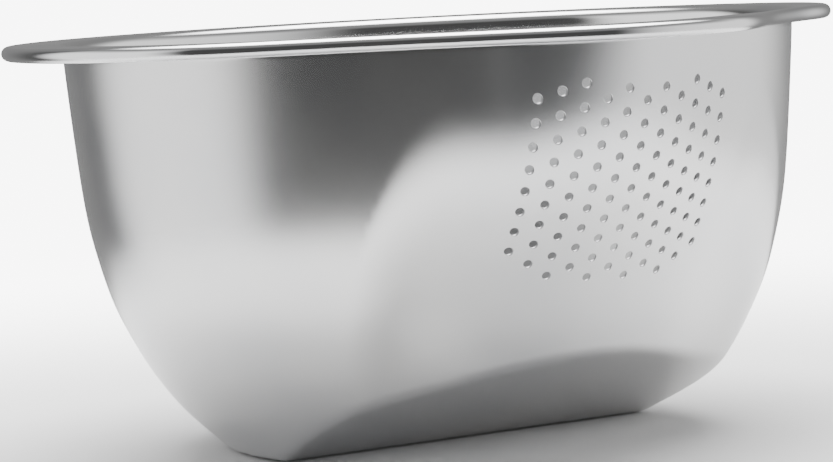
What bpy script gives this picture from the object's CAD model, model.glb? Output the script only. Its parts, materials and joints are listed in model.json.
# A pressed sheet-steel bowl with a spout, a rolled rim and a patch of punched
# holes below the spout. The bowl stands on z = 0 with its axis on Z, and the
# spout points to -Y. Azimuth is 0 at the spout and grows towards +X.
# The bowl is worked out in millimetres; materials and scene are in metres.
import math

import bmesh
import bpy
import json
import numpy as np
from mathutils import Matrix, Vector
from mathutils.geometry import delaunay_2d_cdt

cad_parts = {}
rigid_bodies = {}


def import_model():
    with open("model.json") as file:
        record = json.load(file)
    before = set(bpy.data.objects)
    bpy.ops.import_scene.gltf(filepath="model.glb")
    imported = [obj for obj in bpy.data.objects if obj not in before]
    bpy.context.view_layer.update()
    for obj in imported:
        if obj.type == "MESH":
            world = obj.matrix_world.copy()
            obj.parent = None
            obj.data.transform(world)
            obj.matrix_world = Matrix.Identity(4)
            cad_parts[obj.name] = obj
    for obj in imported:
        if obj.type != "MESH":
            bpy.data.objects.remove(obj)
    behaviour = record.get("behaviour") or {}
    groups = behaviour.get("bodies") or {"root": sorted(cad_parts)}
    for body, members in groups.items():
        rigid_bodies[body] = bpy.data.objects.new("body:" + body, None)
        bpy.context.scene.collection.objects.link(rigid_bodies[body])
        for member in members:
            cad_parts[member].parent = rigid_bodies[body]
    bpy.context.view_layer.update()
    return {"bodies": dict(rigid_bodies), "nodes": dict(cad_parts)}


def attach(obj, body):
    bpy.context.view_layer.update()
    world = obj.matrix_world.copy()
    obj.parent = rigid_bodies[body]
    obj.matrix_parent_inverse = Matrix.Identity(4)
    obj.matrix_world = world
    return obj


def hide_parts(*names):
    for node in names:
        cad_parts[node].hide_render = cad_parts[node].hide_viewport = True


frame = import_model()

MM = 0.001

# ------------------------------------------------------------ dimensions, mm
SHEET = 0.8
WALL_TOP = 118.4                    # the rim is built on from here
RIM_TOP = 124.7
BEAD_R = 2.15

# (height, outside radius) of the sides and back
SIDE = [
    (0.0, 67.2), (4.4, 71.5), (7.4, 74.8), (13.5, 80.8), (19.5, 85.3),
    (25.6, 89.4), (31.6, 92.7), (37.7, 95.8), (43.7, 98.5), (55.8, 102.3),
    (67.9, 105.1), (83.0, 107.1), (101.2, 108.7), (118.7, 110.0), (125.5, 110.4),
]
# (height, outside radius) of the front panel
PANEL = [
    (-4.0, 66.8), (10.0, 72.5), (27.4, 79.6), (38.7, 84.5), (52.3, 90.4),
    (63.4, 95.75), (74.5, 101.05), (86.3, 106.4), (98.7, 111.8), (118.7, 120.8),
    (125.5, 123.8),
]
# (azimuth in degrees, radius of the rim's outer edge), the same on both sides
RIM = [
    (0, 133.0), (6, 132.4), (11, 130.0), (16, 125.4), (21, 120.4), (26, 116.6),
    (32, 114.2), (40, 113.6), (48, 116.0), (56, 121.2), (65, 124.8), (76, 127.5),
    (90, 128.5), (110, 128.4), (130, 128.6), (155, 128.8), (180, 128.8),
]
HEIGHTS = (-4, 126)                 # range of the two height tables

# leaning plane across the front, which carries the panel over to the sides
PLANE_AHEAD, PLANE_LEAN = 53.9, 0.40    # distance at z = 0, gain per mm of height
# ridge that swells out of the front panel towards the spout
RIDGE_OUT, RIDGE_HALF_DEG = 5.24, 21.9
RIDGE_TOP, RIDGE_DEEP = 118.7, 78.6
# the base is level up to the crease, then rises towards the front
CREASE, BASE_TILT = 13.3, math.radians(23.7)

BLEND_PLANE, BLEND_PANEL, BLEND_BASE, BLEND_CREASE = 8.0, 6.0, 2.2, 0.35
BLEND_LOW = 7.0                     # added to both panel blends near the base
LOW_FROM, LOW_SPAN = 50.0, 35.0     # height where that starts, drop to its full size

# punched holes
HOLE_R = 1.25
MOUTH_R, INNER_MOUTH_R = 1.43, 1.36
COL_PITCH, ROW_PITCH = 6.31, 6.29
PUNCH_DOWN = math.radians(32.8)     # punch direction below the horizon
GRID_CENTRE = np.array([0, -103.9, 78.2])
GRID_TWIST = math.radians(-2.5)
HOLES_IN_COLUMN = [8, 9, 10, 9, 10, 9, 10, 9, 10, 9, 8]
MOUTH_ROUND = [(1.37, 0.015), (1.31, 0.05), (1.27, 0.11), (HOLE_R, 0.20)]  # radius, depth
BORE_FROM = 0.1                     # rings deeper than this are sheared
INNER_BREAK = 0.12                  # depth of the broken edge on the inside

# ------------------------------------------------------------ mesh divisions
COLS = 320
AZIMUTH = np.linspace(-math.pi, math.pi, COLS, endpoint=False)
OUTWARD = np.stack([np.sin(AZIMUTH), -np.cos(AZIMUTH)], 1)
EYE_Z = 80.0                        # rays that find the lower bowl start here
EDGE_HALF = math.radians(3.2)       # half the band of close rows round the base edge
OUTER_ROWS = dict(base=26, edge=14, wall=46, upper=22)
INNER_ROWS = dict(base=16, edge=10, wall=30, upper=16)
PATCH_HALF_DEG = 25.5               # the perforated patch: azimuth and heights
PATCH_LOW, PATCH_HIGH = 46.0, 113.0
FILL_PITCH = 1.55                   # spacing of the patch's filler points
HOLE_SEGS = 22


# ------------------------------------------------------------- 1-D functions
def natural_spline(knots, values, x):
    """Natural cubic spline through the knots, at places x between them."""
    count = len(knots)
    gap = np.diff(knots)
    system = np.eye(count)
    load = np.zeros(count)
    for i in range(1, count - 1):
        system[i, i - 1:i + 2] = gap[i - 1], 2 * (gap[i - 1] + gap[i]), gap[i]
        load[i] = 6 * ((values[i + 1] - values[i]) / gap[i]
                       - (values[i] - values[i - 1]) / gap[i - 1])
    bend = np.linalg.solve(system, load)
    k = np.clip(np.searchsorted(knots, x) - 1, 0, count - 2)
    t = x - knots[k]
    h = gap[k]
    slope = (values[k + 1] - values[k]) / h - h * (2 * bend[k] + bend[k + 1]) / 6
    return (values[k] + slope * t + bend[k] / 2 * t**2
            + (bend[k + 1] - bend[k]) / (6 * h) * t**3)


def smooth_table(points, low, high, sigma, step=0.25):
    """A function through the points, straight beyond their ends, then blurred."""
    knots, values = np.array(points, float).T
    x = np.arange(low - 5 * sigma, high + 5 * sigma + step, step)
    y = natural_spline(knots, values, np.clip(x, knots[0], knots[-1]))
    first_slope = (values[1] - values[0]) / (knots[1] - knots[0])
    last_slope = (values[-1] - values[-2]) / (knots[-1] - knots[-2])
    y = (y + np.minimum(x - knots[0], 0) * first_slope
         + np.maximum(x - knots[-1], 0) * last_slope)
    reach = int(4 * sigma / step)
    kernel = np.exp(-0.5 * (np.arange(-reach, reach + 1) * step / sigma) ** 2)
    kernel /= kernel.sum()
    padded = np.pad(y, reach, mode="reflect", reflect_type="odd")
    blurred = np.convolve(padded, kernel, mode="valid")
    return lambda q: np.interp(q, x, blurred)


side_r = smooth_table(SIDE, *HEIGHTS, sigma=2.5)
panel_r = smooth_table(PANEL, *HEIGHTS, sigma=3.0)
rim_r = smooth_table([(-a, r) for a, r in RIM[:0:-1]] + RIM, -180, 180, sigma=1.6)


# --------------------------------------------------------- shape of the bowl
def smooth_min(a, b, width):
    h = np.clip(0.5 + 0.5 * (b - a) / width, 0, 1)
    return b * (1 - h) + a * h - width * h * (1 - h)


def smooth_max(a, b, width):
    return -smooth_min(-a, -b, width)


def wall_r(azimuth, z):
    """Outside radius of the wall."""
    plane = (PLANE_AHEAD + PLANE_LEAN * z) / np.maximum(np.cos(azimuth), 0.15)
    low = np.clip((LOW_FROM - z) / LOW_SPAN, 0, 1)
    low = BLEND_LOW * low * low * (3 - 2 * low)
    front = smooth_max(panel_r(z), plane, BLEND_PLANE + low)
    r = smooth_min(side_r(z), front, BLEND_PANEL + low)
    across = np.clip(np.abs(np.degrees(azimuth)) / RIDGE_HALF_DEG, 0, 1)
    down = np.clip((RIDGE_TOP - z) / RIDGE_DEEP, 0, 1)
    return r + RIDGE_OUT * (0.5 + 0.5 * np.cos(np.pi * across)) * (1 - down) ** 2


def base_planes(ahead, z):
    """Distances below the level and the rising part of the base."""
    return -z, (ahead - CREASE) * math.sin(BASE_TILT) - z * math.cos(BASE_TILT)


def field(points):
    """About the signed distance to the bowl's outside: negative inside."""
    x, y, z = points.T
    azimuth = np.arctan2(x, -y)
    slope = wall_r(azimuth, z + 0.5) - wall_r(azimuth, z - 0.5)
    wall = (np.hypot(x, y) - wall_r(azimuth, z)) / np.sqrt(1 + slope**2)
    base = smooth_max(*base_planes(-y, z), BLEND_CREASE)
    return smooth_max(wall, base, BLEND_BASE)


def field_normal(points):
    steps = 0.3 * np.eye(3)
    slope = np.stack([field(points + s) - field(points - s) for s in steps], 1)
    return slope / np.linalg.norm(slope, axis=1, keepdims=True)


def shoot(origin, direction, near, far, depth):
    """Points where rays meet the surface that lies `depth` inside the outside."""
    near = np.full(len(direction), float(near))
    far = np.full(len(direction), float(far))
    for _ in range(34):
        mid = (near + far) / 2
        inside = field(origin + direction * mid[:, None]) < -depth
        near = np.where(inside, mid, near)
        far = np.where(inside, far, mid)
    return origin + direction * ((near + far) / 2)[:, None]


def aim(azimuth, elevation):
    """Unit vectors at these angles."""
    return np.stack([np.cos(elevation) * np.sin(azimuth),
                     -np.cos(elevation) * np.cos(azimuth),
                     np.sin(elevation)], -1)


# ------------------------------------------------------------ mesh gathering
verts, normals, faces = [], [], []      # a zero normal is worked out by Blender


def add_points(points, given=None):
    """Add vertices and return the index of the first."""
    start = len(verts)
    verts.extend(points.tolist())
    normals.extend([[0, 0, 0]] * len(points) if given is None else given.tolist())
    return start


def bridge(a, b):
    """Quads between two closed rings."""
    count = len(a)
    for k in range(count):
        faces.append((a[k], a[(k + 1) % count], b[(k + 1) % count], b[k]))


def extend(previous, points):
    """Add a ring, join it to the previous one and return it."""
    start = add_points(points)
    ring = list(range(start, start + len(points)))
    bridge(previous, ring)
    return ring


# -------------------------------------------------------- faces of the sheet
def edge_elevation():
    """Elevation, seen from the eye, of the edge between wall and base."""
    elevation = np.radians(np.linspace(-85, -8, 400))
    found = []
    for azimuth in AZIMUTH:
        points = shoot(np.array([0, 0, EYE_Z]), aim(azimuth, elevation), 5, 170, 0.0)
        x, y, z = points.T
        wall = np.hypot(x, y) - wall_r(np.full(len(z), azimuth), z)
        base = np.maximum(*base_planes(-y, z))
        found.append(elevation[np.argmin(np.abs(wall - base))])
    kernel = np.array([1, 2, 3, 2, 1]) / 9
    return np.convolve(found[-2:] + found + found[:2], kernel, mode="valid")


EDGE = edge_elevation()


def sheet_rows(depth, base, edge, wall, upper):
    """Rows of points on one face, from the middle of the base to WALL_TOP."""
    nadir = -math.pi / 2
    # one row lies on the crease in the base, with close ones on each side;
    # beyond the crease's ends it keeps just inside the edge
    ahead = np.maximum(np.cos(AZIMUTH), 0.02)
    reach = (CREASE - depth * math.tan(BASE_TILT / 2)) / ahead
    edge_start = EDGE - EDGE_HALF
    crease = np.minimum(-np.arctan2(EYE_Z - depth, reach), edge_start - math.radians(2.6))
    close = np.radians(np.minimum(0.72 / ahead, 1.2))
    before = base * 2 // 5
    after = base - before
    rows = [nadir + (crease - close - nadir) * (k / before) for k in range(1, before + 1)]
    rows += [crease + k * close for k in (-0.45, 0, 0.45, 1)]
    rows += [crease + close + (edge_start - crease - close) * (k / after)
             for k in range(1, after + 1)]
    rows += [edge_start + 2 * EDGE_HALF * k / edge for k in range(1, edge + 1)]
    rows += [(EDGE + EDGE_HALF) * (1 - k / wall) for k in range(1, wall + 1)]
    directions = aim(AZIMUTH, np.array(rows)).reshape(-1, 3)
    lower = shoot(np.array([0, 0, EYE_Z]), directions, 5, 170, depth)
    # above the eye the rays are level
    level = aim(AZIMUTH, np.zeros(COLS))
    heights = [EYE_Z + (WALL_TOP - EYE_Z) * k / upper for k in range(1, upper + 1)]
    above = [shoot(np.array([0, 0, z]), level, 40, 170, depth) for z in heights]
    return np.concatenate([lower.reshape(len(rows), COLS, 3), np.array(above)])


# the punch frame: across the panel, up the panel, and along the punch
ACROSS = np.array([1.0, 0, 0])
UP = np.array([0, -math.sin(PUNCH_DOWN), math.cos(PUNCH_DOWN)])
PUNCH = np.array([0, -math.cos(PUNCH_DOWN), -math.sin(PUNCH_DOWN)])


def hole_centres():
    """Hole centres in the punch frame: columns of rows, turned by the twist."""
    cos_twist, sin_twist = math.cos(GRID_TWIST), math.sin(GRID_TWIST)
    found = []
    for i, count in enumerate(HOLES_IN_COLUMN):
        for j in range(count):
            across = (i - len(HOLES_IN_COLUMN) // 2) * COL_PITCH
            up = ((count - 1) / 2 - j) * ROW_PITCH
            found.append((across * cos_twist - up * sin_twist,
                          across * sin_twist + up * cos_twist))
    return np.array(found)


CENTRES = hole_centres()
HOLE_ANGLES = np.arange(HOLE_SEGS) / HOLE_SEGS * 2 * math.pi


def nearest(points, targets):
    """Distance from each point to its nearest target."""
    apart = points[:, None] - targets[None]
    return np.min(np.hypot(apart[..., 0], apart[..., 1]), 1)


def inside_loop(points, loop):
    """Which points lie inside the loop, by counting crossings."""
    x, y = points.T
    inside = np.zeros(len(points), bool)
    for (xa, ya), (xb, yb) in zip(loop, np.roll(loop, -1, 0)):
        inside ^= ((ya > y) != (yb > y)) & (x < (xb - xa) * (y - ya) / (yb - ya + 1e-12) + xa)
    return inside


def filler_points(loop, mouth_r):
    """Triangular grid inside the loop, clear of the loop and the mouths."""
    low, high = loop.min(0), loop.max(0)
    grid = []
    row = 0
    up = low[1]
    while up < high[1]:
        across = low[0] + (FILL_PITCH / 2 if row % 2 else 0)
        while across < high[0]:
            grid.append((across, up))
            across += FILL_PITCH
        up += FILL_PITCH * 0.866
        row += 1
    grid = np.array(grid)
    clear = (nearest(grid, CENTRES) > mouth_r + 0.5) & (nearest(grid, loop) > 1.0)
    return grid[clear & inside_loop(grid, loop)]


def build_patch(border, depth, facing, mouth_r):
    """Triangulate the perforated patch; returns the vertex ring of each mouth."""
    offset = np.array([verts[i] for i in border]) - GRID_CENTRE
    loop = np.stack([offset @ ACROSS, offset @ UP], 1)
    points = [tuple(p) for p in loop]
    edges = [(k, (k + 1) % len(border)) for k in range(len(border))]
    mouths_start = len(points)
    for across, up in CENTRES:
        start = len(points)
        points += [(across + mouth_r * math.cos(a), up + mouth_r * math.sin(a))
                   for a in HOLE_ANGLES]
        edges += [(start + k, start + (k + 1) % HOLE_SEGS) for k in range(HOLE_SEGS)]
    mouths_end = len(points)
    points += [tuple(p) for p in filler_points(loop, mouth_r)]
    flat, _, triangles, sources, _, _ = delaunay_2d_cdt(
        [Vector(p) for p in points], edges, [], 1, 1e-6)

    # border points are already in the mesh; the rest go onto the surface
    vertex_of = [-1] * len(flat)
    fresh = []
    for k, source in enumerate(sources):
        if source and source[0] < mouths_start:
            vertex_of[k] = border[source[0]]
        else:
            fresh.append(k)
    placed = np.array([list(p) for p in flat])[fresh]
    origins = GRID_CENTRE + placed[:, :1] * ACROSS + placed[:, 1:] * UP
    solid = shoot(origins, np.tile(PUNCH, (len(placed), 1)), -45, 25, depth)
    start = add_points(solid, facing * field_normal(solid))
    for m, k in enumerate(fresh):
        vertex_of[k] = start + m

    mouth_vertex = {}
    hole_of = [-1] * len(flat)
    for k, source in enumerate(sources):
        for q in source:
            if mouths_start <= q < mouths_end:
                mouth_vertex[q - mouths_start] = vertex_of[k]
                hole_of[k] = (q - mouths_start) // HOLE_SEGS
    for triangle in triangles:
        holes = {hole_of[k] for k in triangle}
        if len(holes) == 1 and -1 not in holes:     # lies within one mouth
            continue
        faces.append(tuple(vertex_of[k] for k in triangle))
    return [[mouth_vertex[h * HOLE_SEGS + k] for k in range(HOLE_SEGS)]
            for h in range(len(CENTRES))]


def build_sheet(depth, facing, mouth_r, row_counts):
    """One face of the sheet; facing is 1 outside and -1 inside.
    Returns the radii and the vertex ring of its top row, and the mouths."""
    grid = sheet_rows(depth, **row_counts)
    points = grid.reshape(-1, 3)
    pole = add_points(np.array([[0, 0, depth]]), facing * np.array([[0, 0, -1.0]]))
    start = add_points(points, facing * field_normal(points))

    def index(row, col):
        return start + row * COLS + col % COLS

    # columns and rows that frame the perforated patch
    c0, c1 = (int(np.argmin(np.abs(AZIMUTH - math.radians(a))))
              for a in (-PATCH_HALF_DEG, PATCH_HALF_DEG))
    front_z = grid[:, int(np.argmin(np.abs(AZIMUTH))), 2]
    r0, r1 = (int(np.argmax(front_z > z)) for z in (PATCH_LOW, PATCH_HIGH))
    for r in range(len(grid) - 1):
        for c in range(COLS):
            if r0 <= r < r1 and c0 <= c < c1:
                continue
            faces.append((index(r, c), index(r, c + 1), index(r + 1, c + 1), index(r + 1, c)))
    for c in range(COLS):
        faces.append((pole, index(0, c + 1), index(0, c)))
    border = [index(r0, c) for c in range(c0, c1)]
    border += [index(r, c1) for r in range(r0, r1)]
    border += [index(r1, c) for c in range(c1, c0, -1)]
    border += [index(r, c0) for r in range(r1, r0, -1)]
    mouths = build_patch(border, depth, facing, mouth_r)
    top = [index(len(grid) - 1, c) for c in range(COLS)]
    return np.hypot(grid[-1][:, 0], grid[-1][:, 1]), top, mouths


# ---------------------------------------------------------------- hole walls
def moved_ring(ring, wider, along):
    """A mouth's points, moved outward from its centre and along the punch."""
    points = np.array([verts[i] for i in ring])
    return (points + wider * np.cos(HOLE_ANGLES)[:, None] * ACROSS
            + wider * np.sin(HOLE_ANGLES)[:, None] * UP + along * PUNCH)


def build_bores(outer_mouths, inner_mouths):
    """Rounded outer mouth, straight bore, small break inside.
    Returns the vertices of the sheared walls."""
    sheared = []
    for outer, inner in zip(outer_mouths, inner_mouths):
        ring = outer
        for radius, deep in MOUTH_ROUND:
            ring = extend(ring, moved_ring(outer, radius - MOUTH_R, -deep))
            if deep > BORE_FROM:
                sheared += ring
        ring = extend(ring, moved_ring(inner, HOLE_R - INNER_MOUTH_R, INNER_BREAK))
        sheared += ring
        bridge(ring, inner)
    return sheared


# ------------------------------------------------- rim: flange and rolled edge
FLANGE_DROP = 0.12                  # flange below the top of the bead
BEND_R, BEND_SHARE = 3.4, 0.72      # wall-to-flange bend, and its limit in the gap
WALL_STEP = 0.06                    # each row below the bend steps out by this
BEAD_END_DEG = (-132.0, -213.0)     # where the bead's curl ends: narrow, wide gap
CURL_GAPS = (1.3, 3.6)              # the narrow and wide gaps
BEAD_STEPS, UNDER_STEPS, BEND_STEPS, FLANGE_STEPS = 30, 12, 8, 8


def level_ring(previous, xy, z):
    return extend(previous, np.column_stack([xy, np.broadcast_to(z, (COLS,))]))


def build_rim(inner_r, inner_top, outer_r, outer_top):
    edge = rim_r(np.degrees(AZIMUTH))[:, None] * OUTWARD
    along = np.roll(edge, -1, 0) - np.roll(edge, 1, 0)
    along /= np.linalg.norm(along, axis=1, keepdims=True)
    square = np.stack([along[:, 1], -along[:, 0]], 1)      # square to the edge, outward
    square *= np.sign((square * OUTWARD).sum(1))[:, None]
    bead = edge - BEAD_R * square                          # middle of the bead
    bead_z = RIM_TOP - BEAD_R
    bead_dist = np.hypot(bead[:, 0], bead[:, 1])

    # inside: up the wall, round the bend, out along the flange
    flange_z = RIM_TOP - FLANGE_DROP
    bend = np.minimum(BEND_R, BEND_SHARE * (bead_dist - inner_r))
    ring = inner_top
    for k in (1, 2):
        z = WALL_TOP + (flange_z - bend - WALL_TOP) * k / 2
        ring = level_ring(ring, (inner_r + WALL_STEP * k)[:, None] * OUTWARD, z)
    bend_r = inner_r + 2 * WALL_STEP
    for k in range(1, BEND_STEPS + 1):
        a = math.pi / 2 * k / BEND_STEPS
        r = bend_r + bend * (1 - math.cos(a))
        ring = level_ring(ring, r[:, None] * OUTWARD, flange_z - bend + bend * math.sin(a))
    flange = (bend_r + bend)[:, None] * OUTWARD
    for k in range(1, FLANGE_STEPS):
        u = k / FLANGE_STEPS
        ring = level_ring(ring, flange + (bead - flange) * u,
                          flange_z + (RIM_TOP - flange_z) * u**3)

    # over the bead, which curls further round where there is room
    narrow, wide = CURL_GAPS
    room = np.clip((bead_dist - outer_r - narrow) / (wide - narrow), 0, 1)
    room = room * room * (3 - 2 * room)
    least, most = BEAD_END_DEG
    end = np.radians(least + (most - least) * room)
    for k in range(BEAD_STEPS + 1):
        a = math.pi / 2 + (end - math.pi / 2) * k / BEAD_STEPS
        ring = level_ring(ring, bead + square * (BEAD_R * np.cos(a))[:, None],
                          bead_z + BEAD_R * np.sin(a))
    bead_ring = ring

    # underside: a Bezier curve from the outer wall to the end of the curl
    end_xy = bead + square * (BEAD_R * np.cos(end))[:, None]
    end_z = bead_z + BEAD_R * np.sin(end)
    wall_xy = outer_r[:, None] * OUTWARD
    handle_z = WALL_TOP + 0.72 * (end_z - WALL_TOP)
    handle_xy = wall_xy + 0.22 * (end_xy - wall_xy)
    ring = outer_top
    for k in range(1, UNDER_STEPS):
        u = k / UNDER_STEPS
        b0, b1, b2, b3 = (1 - u) ** 3, 3 * u * (1 - u) ** 2, 3 * u * u * (1 - u), u**3
        ring = level_ring(ring,
                          b0 * wall_xy + b1 * wall_xy + b2 * handle_xy + b3 * end_xy,
                          b0 * WALL_TOP + b1 * handle_z + b2 * end_z + b3 * end_z)
    bridge(ring, bead_ring)


# --------------------------------------------------------------- bowl object
def make_bowl(sheared):
    """The bowl from the gathered mesh, with a mark of 1 on the sheared walls."""
    mesh = bpy.data.meshes.new("bowl_pressed_sheet")
    mesh.from_pydata([(x * MM, y * MM, z * MM) for x, y, z in verts], [], faces)
    bm = bmesh.new()
    bm.from_mesh(mesh)
    bmesh.ops.recalc_face_normals(bm, faces=bm.faces)
    bm.to_mesh(mesh)
    bm.free()
    mesh.polygons.foreach_set("use_smooth", [True] * len(mesh.polygons))
    auto = np.array([v.vector[:] for v in mesh.vertex_normals])
    given = np.array(normals, float)
    have = np.linalg.norm(given, axis=1) > 0.5
    final = np.where(have[:, None], given, auto)
    final = np.where(((final * auto).sum(1) < 0)[:, None], -final, final)
    mesh.normals_split_custom_set_from_vertices([tuple(n) for n in final])
    mark = mesh.attributes.new("bore", "FLOAT", "POINT")
    flags = np.zeros(len(mesh.vertices), np.float32)
    flags[sheared] = 1.0
    mark.data.foreach_set("value", flags)
    obj = bpy.data.objects.new("bowl_pressed_sheet", mesh)
    bpy.context.scene.collection.objects.link(obj)
    return obj


outer_r, outer_top, outer_mouths = build_sheet(0.0, 1, MOUTH_R, OUTER_ROWS)
inner_r, inner_top, inner_mouths = build_sheet(SHEET, -1, INNER_MOUTH_R, INNER_ROWS)
sheared_verts = build_bores(outer_mouths, inner_mouths)
build_rim(inner_r, inner_top, outer_r, outer_top)
bowl = make_bowl(sheared_verts)


# -------------------------------------------------------------- node helpers
def empty_tree(owner):
    owner.use_nodes = True
    owner.node_tree.nodes.clear()
    return owner.node_tree


def add_node(tree, kind, inputs=None, **settings):
    """A node whose inputs, by name or number, are linked or given values."""
    node = tree.nodes.new(kind)
    for key, value in settings.items():
        setattr(node, key, value)
    for key, value in (inputs or {}).items():
        if isinstance(value, bpy.types.NodeSocket):
            tree.links.new(value, node.inputs[key])
        else:
            node.inputs[key].default_value = value
    return node


def calc(tree, operation, *values):
    node = add_node(tree, "ShaderNodeMath", dict(enumerate(values)), operation=operation)
    return node.outputs[0]


def vector_calc(tree, operation, *values):
    return add_node(tree, "ShaderNodeVectorMath", dict(enumerate(values)),
                    operation=operation)


def ramp(tree, value, low, high):
    """0 to 1, eased, as the value goes from low to high."""
    node = add_node(tree, "ShaderNodeMapRange",
                    {"Value": value, "From Min": low, "From Max": high},
                    clamp=True, interpolation_type="SMOOTHSTEP")
    return node.outputs["Result"]


def mix(tree, factor, a, b, data_type="FLOAT"):
    node = add_node(tree, "ShaderNodeMix", {"Factor": factor, "A": a, "B": b},
                    data_type=data_type)
    return node.outputs["Result"]


def noise(tree, vector, scale, detail):
    node = add_node(tree, "ShaderNodeTexNoise",
                    {"Vector": vector, "Scale": scale, "Detail": detail})
    return node.outputs[0]


def vary(tree, base, texture, amount):
    """The base value, moved up and down by a texture centred on 0.5."""
    swing = calc(tree, "MULTIPLY", calc(tree, "SUBTRACT", texture, 0.5), amount)
    return calc(tree, "ADD", base, swing)


def position(tree):
    return add_node(tree, "ShaderNodeNewGeometry").outputs["Position"]


# ----------------------------------------------------------------- materials
def steel():
    """Satin steel with polish lines round the bowl and a smoother rim."""
    mat = bpy.data.materials.new("satin_stainless_steel")
    tree = empty_tree(mat)
    pos = position(tree)
    x, y, z = add_node(tree, "ShaderNodeSeparateXYZ", {0: pos}).outputs

    # noise stretched round the bowl: slow in angle, fast in radius and height
    angle = calc(tree, "ARCTAN2", x, y)
    radius = calc(tree, "SQRT", calc(tree, "ADD", calc(tree, "MULTIPLY", x, x),
                                     calc(tree, "MULTIPLY", y, y)))
    stretched = add_node(tree, "ShaderNodeCombineXYZ",
                         {0: calc(tree, "MULTIPLY", angle, 2.2),
                          1: calc(tree, "MULTIPLY", radius, 900.0),
                          2: calc(tree, "MULTIPLY", z, 1400.0)}).outputs[0]
    lines = noise(tree, stretched, scale=1.0, detail=3.0)
    grain = noise(tree, pos, scale=1500.0, detail=2.0)
    cloud = noise(tree, pos, scale=22.0, detail=3.0)
    rim = ramp(tree, z, low=0.1190, high=0.1206)       # polished above the wall
    bore = add_node(tree, "ShaderNodeAttribute", attribute_name="bore").outputs["Fac"]

    # the sheared walls of the holes are rougher and duller
    wall_rough = vary(tree, 0.235, cloud, amount=0.07)
    wall_rough = vary(tree, wall_rough, grain, amount=0.05)
    rim_rough = vary(tree, 0.10, cloud, amount=0.05)
    rough = mix(tree, bore, mix(tree, rim, wall_rough, rim_rough), 0.48)
    cloudy = mix(tree, ramp(tree, cloud, low=0.3, high=0.7),
                 (0.71, 0.715, 0.725, 1), (0.77, 0.768, 0.765, 1), data_type="RGBA")
    colour = mix(tree, bore, cloudy, (0.33, 0.33, 0.335, 1), data_type="RGBA")

    # very shallow bumps: polish lines, nearly gone on the rim, then grain
    line_strength = calc(tree, "SUBTRACT", 0.10, calc(tree, "MULTIPLY", rim, 0.09))
    line_bump = add_node(tree, "ShaderNodeBump", {
        "Distance": 0.00002, "Strength": line_strength, "Height": lines})
    grain_bump = add_node(tree, "ShaderNodeBump", {
        "Distance": 0.00002, "Strength": 0.02, "Height": grain,
        "Normal": line_bump.outputs[0]})
    tangent = add_node(tree, "ShaderNodeTangent", direction_type="RADIAL", axis="Z")
    surface = add_node(tree, "ShaderNodeBsdfPrincipled", {
        "Base Color": colour, "Roughness": rough, "Metallic": 1.0, "IOR": 2.5,
        "Normal": grain_bump.outputs[0], "Tangent": tangent.outputs[0],
        "Anisotropic": 0.35})
    add_node(tree, "ShaderNodeOutputMaterial", {0: surface.outputs[0]})
    return mat


def wire_steel():
    mat = bpy.data.materials.new("drawn_wire_steel")
    tree = empty_tree(mat)
    mottle = noise(tree, position(tree), scale=300.0, detail=2.0)
    rough = calc(tree, "ADD", 0.25, calc(tree, "MULTIPLY", mottle, 0.2))
    surface = add_node(tree, "ShaderNodeBsdfPrincipled", {
        "Base Color": (0.55, 0.55, 0.56, 1), "Roughness": rough, "Metallic": 1.0})
    add_node(tree, "ShaderNodeOutputMaterial", {0: surface.outputs[0]})
    return mat


def pale_floor():
    """Matte pale floor that runs out into the backdrop. For reflections its lit
    area fades with distance, as under a lamp hung over a table."""
    mat = bpy.data.materials.new("pale_floor")
    tree = empty_tree(mat)
    matte = add_node(tree, "ShaderNodeBsdfDiffuse", {"Color": (0.86, 0.86, 0.86, 1)})
    clear = add_node(tree, "ShaderNodeBsdfTransparent")
    distance = vector_calc(tree, "LENGTH", position(tree)).outputs["Value"]
    ray = add_node(tree, "ShaderNodeLightPath").outputs
    reflected = calc(tree, "MULTIPLY", ramp(tree, distance, low=0.20, high=0.36),
                     ray["Is Glossy Ray"])
    seen = calc(tree, "MULTIPLY", ramp(tree, distance, low=0.12, high=0.60),
                ray["Is Camera Ray"])
    surface = add_node(tree, "ShaderNodeMixShader", {
        0: calc(tree, "ADD", reflected, seen), 1: matte.outputs[0], 2: clear.outputs[0]})
    add_node(tree, "ShaderNodeOutputMaterial", {0: surface.outputs[0]})
    return mat


bowl.data.materials.append(steel())
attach(bowl, list(frame["bodies"])[0])
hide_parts("bowl_shell")

wire = frame["nodes"]["rim_wire"]
wire_material = wire_steel()
if wire.material_slots:
    for slot in wire.material_slots:
        slot.material = wire_material
else:
    wire.data.materials.append(wire_material)

# --------------------------------------------------------------------- floor
bpy.ops.mesh.primitive_circle_add(vertices=96, radius=4.0, fill_type="NGON",
                                  location=(0, 0, -0.0004))
floor = bpy.context.object
floor.name = "floor"
floor.data.materials.append(pale_floor())

# --------------------------------------------------------------------- world
# Plain neutral studio: an overhead panel, a large soft panel on each side of
# the set, a faint one behind it, and a dim gap behind the camera.
CAM_ROUND = math.radians(31.70)     # camera's place, round from -Y towards -X
SURROUND = 0.085
# (degrees round from the camera, positive to its right; level; cosines of the
# angle from the panel's middle where it begins and where it is full)
SOFT_PANELS = [
    (-91, 1.9, 0.78, 0.95),
    (106, 1.5, 0.08, 0.92),
    (180, 0.28, 0.55, 0.95),
]
UPPER_SKY = 0.34
OVERHEAD = 12.0
OVERHEAD_BACK = math.radians(14)    # the overhead panel stands behind the set
BACKDROP = 8.0                      # seen by the camera only


def facing_amount(tree, view, round_deg, begin, full):
    """0 to 1 as a direction turns, on the horizontal, towards a soft panel."""
    a = math.radians(round_deg) - CAM_ROUND
    level = vector_calc(tree, "MULTIPLY", view, (1, 1, 0)).outputs[0]
    unit = vector_calc(tree, "NORMALIZE", level).outputs[0]
    dot = vector_calc(tree, "DOT_PRODUCT", unit, (math.sin(a), -math.cos(a), 0))
    return ramp(tree, dot.outputs["Value"], begin, full)


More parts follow.
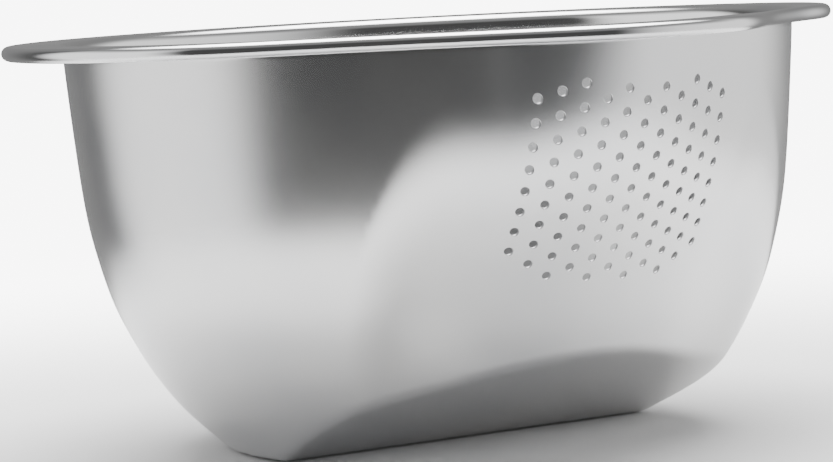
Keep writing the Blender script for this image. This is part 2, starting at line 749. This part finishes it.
def build_world():
    world = bpy.data.worlds.new("studio")
    bpy.context.scene.world = world
    tree = empty_tree(world)
    view = add_node(tree, "ShaderNodeTexCoord").outputs["Generated"]
    height = add_node(tree, "ShaderNodeSeparateXYZ", {0: view}).outputs[2]
    light = SURROUND
    for round_deg, level, begin, full in SOFT_PANELS:
        amount = facing_amount(tree, view, round_deg, begin, full)
        light = mix(tree, amount, light, level)
    light = mix(tree, ramp(tree, height, low=0.35, high=0.75), light, UPPER_SKY)
    middle = (math.sin(CAM_ROUND) * math.sin(OVERHEAD_BACK),
              math.cos(CAM_ROUND) * math.sin(OVERHEAD_BACK), math.cos(OVERHEAD_BACK))
    overhead = vector_calc(tree, "DOT_PRODUCT", view, middle).outputs["Value"]
    light = mix(tree, ramp(tree, overhead, low=0.80, high=0.96), light, OVERHEAD)
    studio = add_node(tree, "ShaderNodeBackground", {"Color": light, "Strength": 1.0})
    white = add_node(tree, "ShaderNodeBackground",
                     {"Color": (1, 1, 1, 1), "Strength": BACKDROP})
    ray = add_node(tree, "ShaderNodeLightPath").outputs
    both = add_node(tree, "ShaderNodeMixShader", {
        0: ray["Is Camera Ray"], 1: studio.outputs[0], 2: white.outputs[0]})
    add_node(tree, "ShaderNodeOutputWorld", {0: both.outputs[0]})


build_world()

# -------------------------------------------------------------------- camera
CAM_DIST, CAM_Z = 1.00632, 0.14672  # from the bowl's axis, and above the floor
# radians: pan to the right, tilt downward, clockwise turn of the picture
CAM_PAN, CAM_TILT, CAM_ROLL = -0.0062, 0.0840, -0.0515
SENSOR, LENS = 36.0, 143.16158      # mm


def build_camera():
    # world axes to right, down and forward for a level camera that looks to +Y
    level = Matrix(((1, 0, 0), (0, 0, -1), (0, 1, 0)))
    right, down, forward = (Matrix.Rotation(CAM_ROLL, 3, "Z")
                            @ Matrix.Rotation(CAM_TILT, 3, "X")
                            @ Matrix.Rotation(-CAM_PAN, 3, "Y")
                            @ level @ Matrix.Rotation(CAM_ROUND, 3, "Z"))
    place = Matrix((right, -down, -forward)).transposed().to_4x4()
    place.translation = Vector((-CAM_DIST * math.sin(CAM_ROUND),
                                -CAM_DIST * math.cos(CAM_ROUND), CAM_Z))
    data = bpy.data.cameras.new("camera")
    camera = bpy.data.objects.new("camera", data)
    bpy.context.scene.collection.objects.link(camera)
    camera.matrix_world = place
    data.sensor_width = SENSOR
    data.lens = LENS
    data.clip_start, data.clip_end = 0.05, 50
    bpy.context.scene.camera = camera


build_camera()
